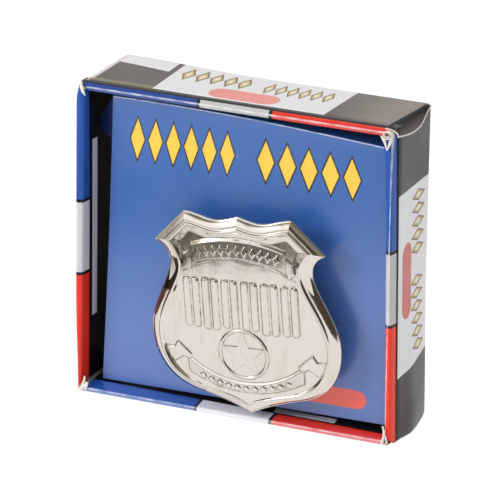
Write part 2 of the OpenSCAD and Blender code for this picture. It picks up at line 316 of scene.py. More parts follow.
def shell_material(name, along, spans, rows, bar, gloss, tint, lo, hi, strip=False, painted_side_shade=False):
    """The outer print of one side: dark, with a plain white panel that holds
    two rows of small lozenges and a bar. spans is where the panel starts and
    ends at the front and how each end slants with depth."""
    s = Shader(name)
    xyz = s.object_xyz()
    line = xyz[along]
    depth = s.math("SUBTRACT", xyz[1], FRONT_Y)
    grain = s.noise(900.0, 3.0, 0.7)
    dark = s.mix(grain, lo, hi)
    if painted_side_shade:
        # painted shade: the side print is darker towards the top, and near black just behind the front edge
        dark = s.mix(s.step(line, 74.0, 50.0), dark, rgb(16, 12, 12))
        dark = s.mix(s.step(depth, 5.2, 4.6), rgb(5, 4, 5), dark)
        # painted shade: a dark line along a crease near the foot, at the back
        off = s.math("ABSOLUTE", s.math("SUBTRACT", line, s.math("MULTIPLY_ADD", depth, -0.475, 14.68)))
        crease = s.math("MULTIPLY", s.math("SUBTRACT", 1.0, s.step(off, 0.3, 0.5)), s.step(depth, 13.0, 5.0))
        dark = s.mix(s.math("MULTIPLY", crease, 0.8), dark, rgb(8, 7, 7))
    else:
        # painted sheen: the top's dark print is lighter towards the right
        dark = s.mix(s.step(line, 38.0, 26.0), dark, rgb(128, 118, 110))
    paper = s.mix(s.noise(700.0, 2.0, 0.5), rgb(214, 213, 214), rgb(230, 229, 230))
    a0, slant_a, b0, slant_b = spans
    start = s.math("SUBTRACT", line, s.math("MULTIPLY", depth, slant_a))
    end = s.math("SUBTRACT", line, s.math("MULTIPLY", depth, slant_b))
    mask = s.math("MULTIPLY", s.math("MULTIPLY", s.step(start, a0, 0.2), s.math("SUBTRACT", 1.0, s.step(end, b0, 0.2))),
                  s.step(depth, 3.7, 0.2))
    gold, brown, red = rgb(214, 190, 120), rgb(120, 104, 76), bar[1]
    col = paper
    for r in rows:
        body, outline = lozenge_row(s, line, depth, *r, 0.92, 0.34)
        core, _ = lozenge_row(s, line, depth, *r, 0.92, 0.66)
        col = s.mix(outline, col, brown)
        col = s.mix(body, col, gold)
        col = s.mix(core, col, paper)
    col = s.mix(bar_mask(s, line, depth, *bar[0]), col, red)
    col = s.mix(mask, dark, col)
    if strip:
        m = s.math("MULTIPLY", s.math("MULTIPLY", s.step(line, -52.8, 0.2), s.math("SUBTRACT", 1.0, s.step(line, -32.2, 0.2))),
                   s.math("MULTIPLY", s.step(s.math("ADD", depth, s.math("MULTIPLY", line, 0.10)), 16.6, 0.3), s.math("SUBTRACT", 1.0, s.step(depth, 28.0, 0.2))))
        col = s.mix(m, col, paper)
        col = s.mix(s.math("MULTIPLY", s.math("SUBTRACT", 1.0, s.step(s.math("SUBTRACT", line, s.math("MULTIPLY", depth, 0.05)), -51.3, 0.4)), s.step(depth, 4.0, 0.6)), col, rgb(205, 203, 200))
        # painted reflection: a paler strip just behind the front edge, left of the white panel
        m = s.math("MULTIPLY", s.step(depth, 3.4, 0.5), s.math("SUBTRACT", 1.0, s.step(depth, 5.6, 1.6)))
        m = s.math("MULTIPLY", m, s.math("SUBTRACT", 1.0, s.step(line, -30.4, 0.3)))
        col = s.mix(s.math("MULTIPLY", m, 0.55), col, rgb(150, 144, 122))
    return board_finish(s, col, gloss=gloss, rough=(0.30, 0.42), bump=0.12, tint=tint)


def shell_top_material():
    return shell_material("top_print", 0, (-30.2, 0.0, 27.7, 0.052),
                          [(-27.8, -3.6, 5, 14.9, 26.0), (0.8, 24.8, 6, 14.2, 25.0)],
                          ((-13.0, 10.6, 4.8, 13.6), rgb(226, 140, 130)), 1.0, (1.0, 0.95, 0.90),
                          rgb(66, 58, 53), rgb(92, 82, 76), strip=True)


def shell_side_material():
    return shell_material("side_print", 2, (21.0, 0.11, 81.5, 0.0),
                          [(57.5, 79.5, 5, 14.5, 25.5), (25.6, 51.0, 6, 14.5, 25.5)],
                          ((39.2, 64.2, 7.2, 15.0), rgb(196, 92, 90)), 0.5, (1.0, 0.95, 0.92),
                          rgb(26, 21, 20), rgb(44, 38, 36), painted_side_shade=True)


def card_material():
    s = Shader("card_print")
    u, v = s.uv()
    cloud = s.noise(25.0, 2.0, 0.5)
    blue = s.mix(cloud, rgb(42, 92, 168), rgb(50, 102, 176))
    yellow, ink = rgb(255, 203, 62), rgb(34, 32, 38)
    # painted sheen: the print is paler towards the foot and the right, where the card reflects the bright floor
    painted_sheen = s.step(s.math("ADD", v, s.math("MULTIPLY", u, -0.22)), 40.0, -50.0)
    col = s.mix(s.math("MULTIPLY", painted_sheen, 0.26), blue, rgb(126, 142, 204))
    for r in ((6.3, 46.0, 6, 78.6, 95.4), (52.8, 91.4, 5, 78.6, 95.4)):
        body, line = lozenge_row(s, u, v, *r, 0.92, 0.17)
        col = s.mix(line, col, ink)
        col = s.mix(body, col, yellow)
    col = s.mix(bar_mask(s, u, s.math("ADD", v, 0.0), 61.0, 92.7, 4.2, 11.0, 0.6), col, rgb(238, 84, 62))
    fleck = s.noise(420.0, 3.0, 0.7)
    worn = s.math("MULTIPLY", s.step(fleck, 0.74, 0.06), 0.35)
    col = s.mix(worn, col, rgb(190, 205, 235))
    return board_finish(s, col, gloss=1.0, rough=(0.24, 0.32), bump=0.03)


def navy_material():
    s = Shader("card_navy")
    n = s.noise(300.0, 3.0, 0.6)
    return board_finish(s, s.mix(n, rgb(14, 26, 74), rgb(22, 40, 96)), rough=(0.34, 0.46))


def edge_material():
    """Cut edge of the card: raw fibre with the print dragged over it in places."""
    s = Shader("card_edge")
    n = s.noise(520.0, 2.0, 0.5)
    return s.set(Base_Color=s.mix(s.step(n, 0.5, 0.1), rgb(90, 120, 190), rgb(214, 222, 240)),
                 Roughness=0.8)


METAL, STEEL, RAW = metal_material(), steel_material(), raw_material()
NAVY, CARD_EDGE = navy_material(), edge_material()


def flap_material():
    s = Shader("card_flap")
    n = s.noise(300.0, 3.0, 0.6)
    return board_finish(s, s.mix(n, rgb(40, 84, 160), rgb(56, 104, 186)), gloss=0.6, rough=(0.25, 0.35))


def fold_material():
    """The card's top fold: painted highlight along it, in patches where the print has cracked to white."""
    s = Shader("card_fold")
    n = s.noise(420.0, 3.0, 0.65, s.mapped((0.35, 1.0, 1.0)))
    return board_finish(s, s.mix(s.step(n, 0.42, 0.3), rgb(110, 146, 214), rgb(214, 224, 248)), gloss=0.8, rough=(0.2, 0.3))


FLAP, FOLD = flap_material(), fold_material()


def overlap_material():
    s = Shader("overlap_print")
    x, y, z = s.object_xyz()
    n = s.noise(500.0, 3.0, 0.6)
    brown = s.mix(n, rgb(52, 46, 42), rgb(74, 66, 60))
    return board_finish(s, s.mix(s.step(z, 103.2, 1.6), brown, rgb(12, 10, 9)), gloss=0.3, rough=(0.4, 0.5))


OVERLAP = overlap_material()
CARD = card_material()
SHELL_TOP, SHELL_SIDE = shell_top_material(), shell_side_material()


# ---------------------------------------------------------------- box
def thick_profile(pts, t):
    """A folded board's outline: pts is its printed side, walked so that the
    board's body lies on the left; returns that side and the other one."""
    pts = np.array(pts, float)
    d = np.diff(pts, axis=0)
    d /= np.linalg.norm(d, axis=1)[:, None]
    n = np.stack([d[:, 1], -d[:, 0]], 1)
    vn = np.vstack([n[:1], n[:-1] + n[1:], n[-1:]])
    vn /= np.maximum(np.linalg.norm(vn, axis=1), 1e-9)[:, None]
    return pts, pts - vn * t


def rounded(pts, radii, steps=5):
    """Rounds the inner corners of an open polyline."""
    pts = [np.array(p, float) for p in pts]
    out = [pts[0]]
    for i in range(1, len(pts) - 1):
        r = radii[i]
        a, b, c = pts[i - 1], pts[i], pts[i + 1]
        r = min(r, 0.47 * np.linalg.norm(a - b), 0.47 * np.linalg.norm(c - b))
        if r <= 0:
            out.append(b)
            continue
        p0 = b + (a - b) / np.linalg.norm(a - b) * r
        p1 = b + (c - b) / np.linalg.norm(c - b) * r
        for k in range(steps + 1):
            t = k / steps
            out.append((1 - t) ** 2 * p0 + 2 * t * (1 - t) * b + t * t * p1)
    out.append(pts[-1])
    return out


def roll(name, profile, place, length, ends, material, bow, slope):
    """Sweeps a folded profile along one side of the box.
    place(a, b, l) gives the world point for a mm inward, b mm back, l along."""
    outer, inner = thick_profile(profile, 0.62)
    # slope only keeps the mitre from closing up where the roll is bowed
    ends = (mitre(0.3, slope), mitre(0.3, slope))
    loop = np.vstack([outer, inner[::-1]])
    n_out = len(outer)
    n = len(loop)
    stations = 49
    verts = []
    for k in range(stations):
        f = k / (stations - 1)
        for i, (a, b) in enumerate(loop):
            lo = ends[0](a, b)
            hi = length - ends[1](a, b)
            l = lo + (hi - lo) * f
            lift, fore = bow(l / length, a)
            verts.append(place(a + lift, b - fore, l))
    faces, ids = [], []
    for k in range(stations - 1):
        for i in range(n):
            j = (i + 1) % n
            faces.append((k * n + i, k * n + j, (k + 1) * n + j, (k + 1) * n + i))
            ids.append(0 if i < n_out - 1 else 1)
    # end caps as strips between the two sides of the board
    for base, flip in ((0, 1), ((stations - 1) * n, 0)):
        for i in range(n_out - 1):
            q = (base + i, base + i + 1, base + n - 2 - i, base + n - 1 - i)
            faces.append(q[::-1] if flip else q)
            ids.append(1 if outer[i][1] < 2.5 else 0)
    ob = mesh(name, verts, faces, [material, RAW], ids, smooth=True, sharp=38)
    fix_normals(ob)
    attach(ob, "root")
    return ob


def fix_normals(ob):
    import bmesh
    bm = bmesh.new()
    bm.from_mesh(ob.data)
    bmesh.ops.recalc_face_normals(bm, faces=bm.faces)
    bm.to_mesh(ob.data)
    bm.free()


LEFT_X, RIGHT_X = -54.0, 53.4
# profiles: a is measured inward from the outer face, b back from the front
SIDE_L = rounded([(0.0, 5.0), (-0.1, 2.6), (-0.1, 0.55), (0.6, -0.02), (1.9, 0.6), (2.2, 3.1), (2.6, 9.0), (2.75, 24.0)],
                 [0, 1.0, 0.5, 0.45, 0.5, 1.0, 2.0, 0])
SIDE_R = rounded([(0.1, 6.0), (0.35, 3.4), (0.8, 0.9), (1.2, 0.0), (2.9, 0.38), (3.1, 2.0), (2.7, 9.0), (2.75, 24.0)],
                 [0, 1.2, 0.7, 0.35, 0.3, 0.8, 2.0, 0])
SIDE_T = rounded([(0.0, 5.0), (0.04, 2.2), (0.34, 1.0), (1.5, 0.0), (2.66, 0.4), (2.8, 3.0), (2.8, 24.0)],
                 [0, 0.5, 0.35, 0.34, 0.3, 1.0, 0])
SIDE_B_ = rounded([(0.0, 5.0), (0.0, 0.5), (0.45, 0.0), (1.35, 0.0), (1.75, 0.5), (2.15, 3.8), (2.6, 10.0), (2.6, 24.0)],
                  [0, 0.35, 0.25, 0.25, 0.4, 1.0, 2.0, 0])


def mitre(gap, slope=0.45):
    """End cut: the far side of the roll is shorter, and the front face is cut
    back more than the walls, so the board's raw thickness shows."""
    return lambda a, b: a + gap + slope * max(0.0, 1.6 - b)


def no_bow(f, a):
    return 0.0, 0.0


def bow_left(f, a):
    """The left edge bellies outward, and comes forward towards its foot."""
    out = 0.25 + 0.75 * float(smoothstep(0.0, 0.3, f))
    out *= float(smoothstep(1.0, 0.94, f))
    narrow = 1.1 * (1 - f) ** 1.5 * min(1.0, max(a, 0) / 2.2)
    return -0.95 * out * max(0.0, 1 - max(a, 0) / 2.4) - narrow, 2.2 * (1 - f) ** 0.8


def bow_right(f, a):
    """The right edge leans outward at its foot, and is fuller at its top."""
    return -(1.5 - 1.95 * f) + 0.75 * float(smoothstep(0.75, 1.0, f)) * min(1.0, max(a, 0) / 3.0), 0.0


def bow_bottom(f, a):
    return 0.0, 2.2 * (1 - f)


def bow_top(f, a):
    return 0.0, 0.0


cuts_x = (-12.8, 12.2)
rolls = [
    # painted shade: the left roll's white is printed darker than the bottom roll's
    roll("roll_left", SIDE_L, lambda a, b, l: (LEFT_X + a, FRONT_Y + b, l), BOX_H, (mitre(0.3), mitre(0.3)),
         roll_material("print_left", 2, (40.2, 64.8), (RED, WHITE, BLUE), 3.1, 3.2, 0, LEFT_X + 0.8, -1.0,
                       stripe=(24.0, 84.0, 4.9, 8.0), white=rgb(206, 206, 212)),
         bow_left, 0.3),
    # painted shade: the right roll's white is printed darker still; edge adds a painted highlight on its fold
    roll("roll_right", SIDE_R, lambda a, b, l: (RIGHT_X - a, FRONT_Y + b, l), BOX_H, (mitre(0.3), mitre(0.3)),
         roll_material("print_right", 2, (40.0, 64.2), (RED, WHITE, BLUE), 3.0, 3.4, 0, RIGHT_X - 1.4, 1.0,
                       white=rgb(188, 187, 188), edge=(RIGHT_X - 1.4, 0.35)),
         bow_right, 0.3),
    # painted shade: the top roll's blue, white and red are printed darker, for its front turned down from the light;
    # edge adds a painted highlight along its ridge
    roll("roll_top", SIDE_T, lambda a, b, l: (LEFT_X + l, FRONT_Y + b, BOX_H - a), RIGHT_X - LEFT_X, (mitre(0.3), mitre(0.3)),
         roll_material("print_top", 0, (-12.8, 11.6), (rgb(34, 66, 138), WHITE, rgb(214, 52, 34)), 3.0, 1.25, 2, BOX_H - 0.9, 1.0,
                       white=rgb(184, 184, 180), edge=(BOX_H - 1.45, 0.5)),
         bow_top, 0.5),
    # the bottom roll's edge adds a painted highlight on its fold, and under a painted floor reflection along its foot
    roll("roll_bottom", SIDE_B_, lambda a, b, l: (LEFT_X + l, FRONT_Y + b, a), RIGHT_X - LEFT_X, (mitre(0.3), mitre(0.3)),
         roll_material("print_bottom", 0, (-12.6, 13.2), (BLUE, WHITE, RED), 3.8, 0.6, 2, 0.6, -1.0,
                       stripe=(12.0, 33.0, 4.6, 7.6), edge=(1.3, 0.5), under=0.85),
         bow_bottom, 0.5),
]


def shell():
    """Outer walls and back, lofted from the crease behind the rolls."""
    per = 8          # steps round each corner
    side = 24        # steps along each side
    r = 1.3

    def ring(inset, depth, rad, bulge):
        x0, x1, z0, z1 = LEFT_X + inset, RIGHT_X - inset, inset, BOX_H - inset
        out = []
        ra = rad * (2.6 - 1.7 * float(smoothstep(14, 27.5, depth)))     # the top right corner bends wider in front
        rb = rad * 1.4
        corners = [(x1 - ra, z1 - ra, 0, ra), (x0 + rb, z1 - rb, 90, rb), (x0 + rad, z0 + rad, 180, rad), (x1 - rad, z0 + rad, 270, rad)]
        for ci, (cx, cz, a0, rc) in enumerate(corners):
            for k in range(per + 1):
                a = math.radians(a0 + 90 * k / per)
                out.append([cx + rc * math.cos(a), cz + rc * math.sin(a)])
            nx, nz, na, rn = corners[(ci + 1) % 4]
            s = out[-1]
            a = math.radians(na)
            e = [nx + rn * math.cos(a), nz + rn * math.sin(a)]
            for k in range(1, side):
                t = k / side
                px, pz = s[0] + (e[0] - s[0]) * t, s[1] + (e[1] - s[1]) * t
                if ci == 1:
                    px += 0.3 * bulge * math.sin(math.pi * t)
                out.append([px, pz])
        # the board is a little out of square: the left end of the top is
        # pushed up, and the right side bellies out and leans low down
        for q in out:
            deep = depth / 28.6
            left = float(smoothstep(0, -54, q[0]) * smoothstep(70, 104, q[1]))
            q[0] += 1.7 * left * deep
            q[1] += 1.3 * left * deep
            right = float(smoothstep(20, 52, q[0]))
            low = float(smoothstep(52, 0, q[1]))
            q[0] += right * ((1.45 - 1.9 * q[1] / BOX_H) * (1 - float(smoothstep(0, 24, depth)))
                             + (2.1 * math.sin(math.pi * min(1, deep)) ** 0.8 + 0.7 * deep) * low * float(smoothstep(2.5, 13, depth)))
        return [(p[0], FRONT_Y + depth, p[1]) for p in out]

    t = 0.8
    rings = []
    for depth in (3.15, 3.3, 6, 9, 12, 15, 18, 21, 24, 26.6, 27.6):
        bulge = 0.35 * math.sin(math.pi * (depth - 3) / 25.6)
        rings.append(ring(0.12 if depth < 3.2 else 0.0, depth, r, bulge))
    back = 0.55
    for k in range(0, 6):
        a = math.radians(90 * k / 5)
        rings.append(ring(back * (1 - math.cos(a)), 28.6 - back + back * math.sin(a), r, 0.0))
    n_outer = len(rings)
    rings.append(ring(BOX_H / 2 - 8, 28.6, 1.0, 0.0))
    mid_outer = len(rings) - 1
    rings.append(ring(BOX_H / 2 - 8, 28.6 - t, 1.0, 0.0))
    rings.append(ring(t + 0.5, 28.6 - t, 0.6, 0.0))
    for depth in (26.6, 18, 9, 3.15):
        rings.append(ring(t, depth, 0.7, 0.2 * math.sin(math.pi * (depth - 3) / 25.6)))
    n = len(rings[0])
    verts = [v for q in rings for v in q]
    faces, ids = [], []
    m = len(rings)
    for j in range(m):
        j2 = (j + 1) % m
        if j == mid_outer:
            continue
        for i in range(n):
            k = (i + 1) % n
            faces.append((j * n + i, j * n + k, j2 * n + k, j2 * n + i))
            ids.append(0 if j < mid_outer or j == m - 1 else 1)
    faces.append(tuple(mid_outer * n + i for i in range(n)))
    ids.append(0)
    faces.append(tuple((mid_outer + 1) * n + i for i in range(n))[::-1])
    ids.append(1)
    ob = mesh("box_shell", verts, faces, [SHELL_SIDE, RAW, SHELL_TOP], ids, smooth=True, sharp=50)
    fix_normals(ob)
    for q in ob.data.polygons:
        if q.material_index == 0:
            if q.center.x < -0.0505 and 0.25 < q.normal.z < 0.97 and q.center.y < 0.0135:
                q.material_index = 1
            elif q.normal.z > 0.6:
                q.material_index = 2
    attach(ob, "root")
    return ob


box_shell = shell()


def sheet(name, grid, t, mats, uvs=None, front_flip=False):
    """A thin sheet through a grid of points, closed all round. mats are the
    front, the back and the cut edge."""
    g = np.array(grid, float)
    m, n, _ = g.shape
    du = np.gradient(g, axis=1)
    dv = np.gradient(g, axis=0)
    nn = np.cross(du, dv)
    nn /= np.linalg.norm(nn, axis=2)[..., None]
    if front_flip:
        nn = -nn
    back = g - nn * t
    verts = np.vstack([g.reshape(-1, 3), back.reshape(-1, 3)])
    faces, ids = [], []
    o = m * n
    for j in range(m - 1):
        for i in range(n - 1):
            a, b, c, d = j * n + i, j * n + i + 1, (j + 1) * n + i + 1, (j + 1) * n + i
            faces.append((a, b, c, d)); ids.append(0)
            faces.append((o + d, o + c, o + b, o + a)); ids.append(1)
    border = [(0, i) for i in range(n)] + [(j, n - 1) for j in range(1, m)] + [(m - 1, i) for i in range(n - 2, -1, -1)] + [(j, 0) for j in range(m - 2, 0, -1)]
    for k in range(len(border)):
        a = border[k][0] * n + border[k][1]
        b = border[(k + 1) % len(border)]
        b = b[0] * n + b[1]
        faces.append((a, o + a, o + b, b)); ids.append(2)
    ob = mesh(name, verts, faces, mats, ids, smooth=True, sharp=45)
    lay = ob.data.uv_layers.new(name="flat")
    if uvs is not None:
        w = np.vstack([np.array(uvs, float).reshape(-1, 2)] * 2) / 100.0
        loops = np.empty(len(ob.data.loops), dtype=np.int32)
        ob.data.loops.foreach_get("vertex_index", loops)
        lay.data.foreach_set("uv", w[loops].ravel())
    fix_normals(ob)
    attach(ob, "root")
    return ob


def corner_pieces():
    """The torn and curled board at the four corners of the rolled edges."""
    made = []

    def pleat(name, a, b, depth, belly=0.3, t=0.22, wide=0.62):
        a, b = np.array(a, float), np.array(b, float)
        b = a + (b - a) * wide
        grid = []
        for j in range(7):
            f = j / 6
            grid.append([[p[0] + (q[0] - p[0]) * f, FRONT_Y + depth - belly * math.sin(math.pi * f), p[1] + (q[1] - p[1]) * f] for p, q in zip(a, b)])
        made.append(sheet(name, grid, t, [RAW, RAW, RAW]))

    pleat("corner_top_left", [(-53.53, 104.82), (-53.72, 103.06), (-53.04, 101.1), (-51.73, 99.89)], [(-52.39, 105.23), (-51.79, 103.75), (-51.45, 102.16), (-51.38, 100.44)], -0.1, 0.2)
    pleat("corner_bottom_left_a", [(-53.76, 0.13), (-52.76, 1.92), (-51.91, 4.08), (-51.45, 5.73)], [(-52.77, 0.16), (-51.86, 1.9), (-51.16, 3.85), (-51.07, 5.33)], -2.3, 0.12)
    pleat("corner_bottom_left_b", [(-51.56, 0.86), (-51.25, 2.38), (-50.86, 3.73)], [(-50.73, 0.83), (-50.04, 2.35), (-49.88, 3.61)], -2.2, 0.12)
    pleat("corner_bottom_right_a", [(51.01, 0.61), (51.68, 3.28), (51.72, 5.13), (51.32, 6.71)], [(51.75, 0.61), (52.5, 3.2), (52.46, 5.04), (51.77, 6.89)], -0.25, 0.12)
    pleat("corner_bottom_right_b", [(51.84, 4.23), (52.43, 2.5), (52.75, 0.8)], [(52.46, 4.81), (53.24, 2.88), (53.65, 1.07)], -0.25, 0.12)
    pleat("corner_top_right_fold_a", [(48.3, 101.8), (49.25, 100.1), (50.0, 98.6), (50.42, 97.4)], [(49.7, 101.9), (50.2, 100.4), (50.5, 98.9), (50.7, 97.4)], -0.3, 0.1, wide=1.0)
    pleat("corner_top_right_fold_b", [(51.6, 101.9), (51.15, 100.3), (50.8, 98.8), (50.5, 97.4)], [(52.8, 101.9), (52.0, 99.9), (51.4, 98.6), (50.75, 97.4)], -0.3, 0.1, wide=1.0)
    # the curl above the fold: a strip of board wound up one and a half times
    grid = []
    for j in range(45):
        f = j / 44
        ang = math.radians(-150 + 560 * f)
        r = 2.0 - 1.1 * f
        x, z = 50.78 + r * math.cos(ang), 102.5 + 0.74 * r * math.sin(ang)
        grid.append([[x, FRONT_Y + d - 0.25 * (1 - f), z] for d in (-0.8, -0.2, 0.4, 1.0)])
    made.append(sheet("corner_top_right_curl", grid, 0.3, [RAW, RAW, RAW]))
    # the top panel's end, bent down over the right side
    edge_d = (0.4, 4.0, 7.5, 10.5, 13.0, 15.4, 18.7, 21.9, 24.3, 26.6)
    edge_z = (101.9, 101.1, 100.4, 99.9, 99.7, 99.7, 99.95, 101.6, 103.2, 103.95)
    grid = []
    for d in np.linspace(0.4, 26.6, 41):
        low = float(np.interp(d, edge_d, edge_z))
        start = 49.7 + 2.4 * float(smoothstep(0, 26.6, d))
        row = []
        for k in range(12):
            a = math.radians(90 * k / 11)
            row.append([start + (54.05 - start) * math.sin(a), FRONT_Y + d, low + 0.45 + (BOX_H + 0.1 - low - 0.45) * math.cos(a)])
        row.append([54.2, FRONT_Y + d, low])
        grid.append(row)
    lap = sheet("corner_overlap", grid, 0.42, [OVERLAP, RAW, RAW])
    for j in range(len(grid) - 1):      # the torn edge shows the board's raw core
        for side_face in (0, 1):
            lap.data.polygons[(j * 12 + 11) * 2 + side_face].material_index = 1
    made.append(lap)
    return made


for piece in rolls + [box_shell] + corner_pieces():
    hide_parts("box")


# ---------------------------------------------------------------- insert card


# corners of the front panel: x, depth behind the front plane, z
C_TL, C_TR = np.array([-45.4, 7.0, 98.3]), np.array([48.8, 4.4, 96.0])
C_BL, C_BR = np.array([-48.3, 4.4, 2.9]), np.array([50.7, 5.4, 4.6])


def card():
    n, m = 41, 41
    rows, uvs = [], []
    for j in range(m):
        v = j / (m - 1)
        row, urow = [], []
        for i in range(n):
            u = i / (n - 1)
            p = (1 - u) * (1 - v) * C_BL + u * (1 - v) * C_BR + (1 - u) * v * C_TL + u * v * C_TR
            # slight belly of the left edge and of the panel
            p = p + np.array([-0.5 * (1 - u) * math.sin(math.pi * v) * 0.6, -0.5 * math.sin(math.pi * u) * math.sin(math.pi * v),
                              1.0 * math.sin(math.pi * u ** 0.9) * v])
            p[0] += (0.6 * (1 - u) * math.sin(math.pi * v) + 0.6 * u * math.sin(math.pi * v))
            row.append([p[0], FRONT_Y + p[1], p[2]])
            urow.append([100 * u, 100 * v])
        rows.append(row)
        uvs.append(urow)
    # round the fold and carry the flap back
    top = np.array(rows[-1])
    for ang in (18, 36, 54, 72, 90):
        a = math.radians(ang)
        rows.append([[p[0], p[1] + 0.6 * (1 - math.cos(a)), p[2] + 0.6 * math.sin(a)] for p in top])
        uvs.append([[100 * i / (n - 1), 100.5] for i in range(n)])
    for k in range(1, 9):
        d = 19.0 * k / 8
        rows.append([[p[0] + 0.03 * d, p[1] + 0.6 + d, p[2] + 0.6 + 0.5 * math.sin(math.pi * k / 8) * 0.6] for p in top])
        uvs.append([[100 * i / (n - 1), 101 + d] for i in range(n)])
    front = sheet("card_front", rows, 0.55, [CARD, RAW, CARD_EDGE], uvs)
    me = front.data
    # the flap's upper side takes the blue flap print, and the rounded fold the fold material
    me.materials.append(FLAP)
    me.materials.append(FOLD)
    for p in me.polygons:
        if p.material_index == 0 and p.normal.z > 0.82:
            p.material_index = 3
        elif p.material_index == 0 and p.normal.z > 0.22:
            p.material_index = 4
    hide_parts("insert_card")

    def tab(name, root, out, high, turn):
        """A dust tab hinged on the panel's upright edge, round at its foot."""
        rows = []
        for j in range(21):
            v = j / 20
            wide = math.sin(math.pi * min(1.0, 0.10 + 0.90 * v) ** 2.0) ** 0.6 if j < 20 else 0.02
            row = []
            for i in range(11):
                u = i / 10 * wide
                row.append([root[0] + out[0] * u, FRONT_Y + root[1] + out[1] * u ** 1.4, root[2] - high * v + turn * u])
            rows.append(row)
        ob = sheet(name, rows, 0.45, [NAVY, NAVY, RAW])
        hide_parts("insert_card")
        return ob

    tab("card_tab_left", (-45.3, 7.35, 97.9), (-6.2, 2.6), 13.2, -0.6)
    tab("card_tab_right", (48.9, 5.0, 95.6), (0.9, 5.5), 11.5, -0.6)


card()


# ---------------------------------------------------------------- badge
EDGE_START = (0, 30.2)
EDGE = [
    ((2.6, 29.5), (4.6, 28.6), (7.6, 28.6)),
    ((11.4, 28.6), (14.4, 30.5), (18.3, 30.7)),
    ((22.0, 27.1), (25.8, 23.5), (29.4, 20.0)),
    ((26.0, 18.8), (24.4, 16.6), (24.4, 13.6)),
    ((24.4, 7.6), (32.4, -1.5), (32.4, -10.5)),
    ((32.4, -20.3), (27.4, -27.4), (18.0, -29.7)),
    ((10.5, -31.5), (5.0, -33.5), (0, -35.8)),
]
BEAD_START = (0, 26.3)
BEAD = [
    ((2.6, 25.6), (4.6, 24.9), (7.4, 24.9)),
    ((11.0, 24.9), (13.6, 26.7), (17.4, 26.9)),
    ((19.6, 24.9), (21.7, 22.8), (23.8, 20.8)),
    ((21.6, 18.6), (20.4, 16.2), (20.4, 13.2)),
    ((20.4, 6.8), (28.9, -1.2), (28.9, -11.0)),
    ((28.9, -19.2), (24.6, -25.4), (16.2, -27.9)),
    ((9.4, -29.4), (4.4, -30.7), (0, -32.8)),
]
STEPS = (16, 22, 14, 16, 44, 48, 34)


def whole(start, table):
    pts = []
    a = np.array(start, float)
    for (b, c, d), n in zip(table, STEPS):
        b, c, d = (np.array(q, float) for q in (b, c, d))
        for k in range(n):
            t = k / n
            pts.append((1 - t) ** 3 * a + 3 * t * (1 - t) ** 2 * b + 3 * t * t * (1 - t) * c + t ** 3 * d)
        a = d
    right = np.array(pts)
    left = right[1:][::-1] * np.array([-1, 1])
    return np.vstack([right, [a], left])


def moved(p, d):
    """Moves the outline inward by d. Each run between two corners is trimmed
    at the corners' mitres and spread again over as many points."""
    out = np.empty_like(p)
    runs = list(zip(CORNERS, CORNERS[1:] + [CORNERS[0] + len(p)]))
    ends = []
    for i0, i1 in runs:
        q = p[np.arange(i0, i1 + 1) % len(p)]
        e = np.diff(q, axis=0)
        e /= np.linalg.norm(e, axis=1)[:, None]
        n = np.stack([e[:, 1], -e[:, 0]], 1)
        vn = np.vstack([n[:1], n[:-1] + n[1:], n[-1:]])
        vn /= np.linalg.norm(vn, axis=1)[:, None]
        ends.append((q, vn, n[0], n[-1]))
    for k, (i0, i1) in enumerate(runs):
        q, vn, first, last = ends[k]
        before, after = ends[k - 1][3], ends[(k + 1) % len(ends)][2]
        m0 = q[0] + d * (before + first) / (1 + before @ first)
        m1 = q[-1] + d * (last + after) / (1 + last @ after)
        r = q + d * vn
        keep = np.ones(len(r), bool)
        keep[0] = keep[-1] = False
        for c, b, t in ((q[0], before + first, q[1] - q[0]), (q[-1], last + after, q[-2] - q[-1])):
            near = np.linalg.norm(q - c, axis=1) < 6 * abs(d) + 0.5
            w = r - c
            side = (b[0] * w[:, 1] - b[1] * w[:, 0]) * np.sign(b[0] * t[1] - b[1] * t[0])
            keep &= ~(near & (side < 0.02))
        r = np.vstack([m0, r[keep], m1])
        s0 = np.concatenate([[0], np.cumsum(np.linalg.norm(np.diff(q, axis=0), axis=1))])
        s1 = np.concatenate([[0], np.cumsum(np.linalg.norm(np.diff(r, axis=0), axis=1))])
        at = s0 / s0[-1] * s1[-1]
        out[np.arange(i0, i1) % len(p)] = np.stack([np.interp(at, s1, r[:, c]) for c in (0, 1)], 1)[:-1]
    return out


_ends = np.cumsum(STEPS)
edge_line, bead_line = whole(EDGE_START, EDGE), whole(BEAD_START, BEAD)
N_LOOP = len(edge_line)
CORNERS = [0, int(_ends[1]), int(_ends[2]), int(_ends[6]), int(N_LOOP - _ends[2]), int(N_LOOP - _ends[1])]
EDGE_T, BEAD_H, CROWN, WALL = 1.2, 2.75, 3.5, 1.3


def dome(u, v):
    return CROWN - 200 + np.sqrt(200 ** 2 - u ** 2 - ((v + 3) / 1.3) ** 2)


def poly_dist(u, v, pts):
    """Signed distance to a polygon, positive inside."""
    pts = np.array(pts, float)
    d = np.full(u.shape, 1e9)
    inside = np.zeros(u.shape, bool)
    for i in range(len(pts)):
        a, b = pts[i], pts[(i + 1) % len(pts)]
        e = b - a
        w0, w1 = u - a[0], v - a[1]
        t = np.clip((w0 * e[0] + w1 * e[1]) / (e @ e), 0, 1)
        d = np.minimum(d, (w0 - t * e[0]) ** 2 + (w1 - t * e[1]) ** 2)
        c1 = (a[1] <= v) & (b[1] > v)
        c2 = (b[1] <= v) & (a[1] > v)
        s = e[0] * w1 - e[1] * w0
        inside ^= (c1 & (s > 0)) | (c2 & (s < 0))
    return np.where(inside, 1, -1) * np.sqrt(d)


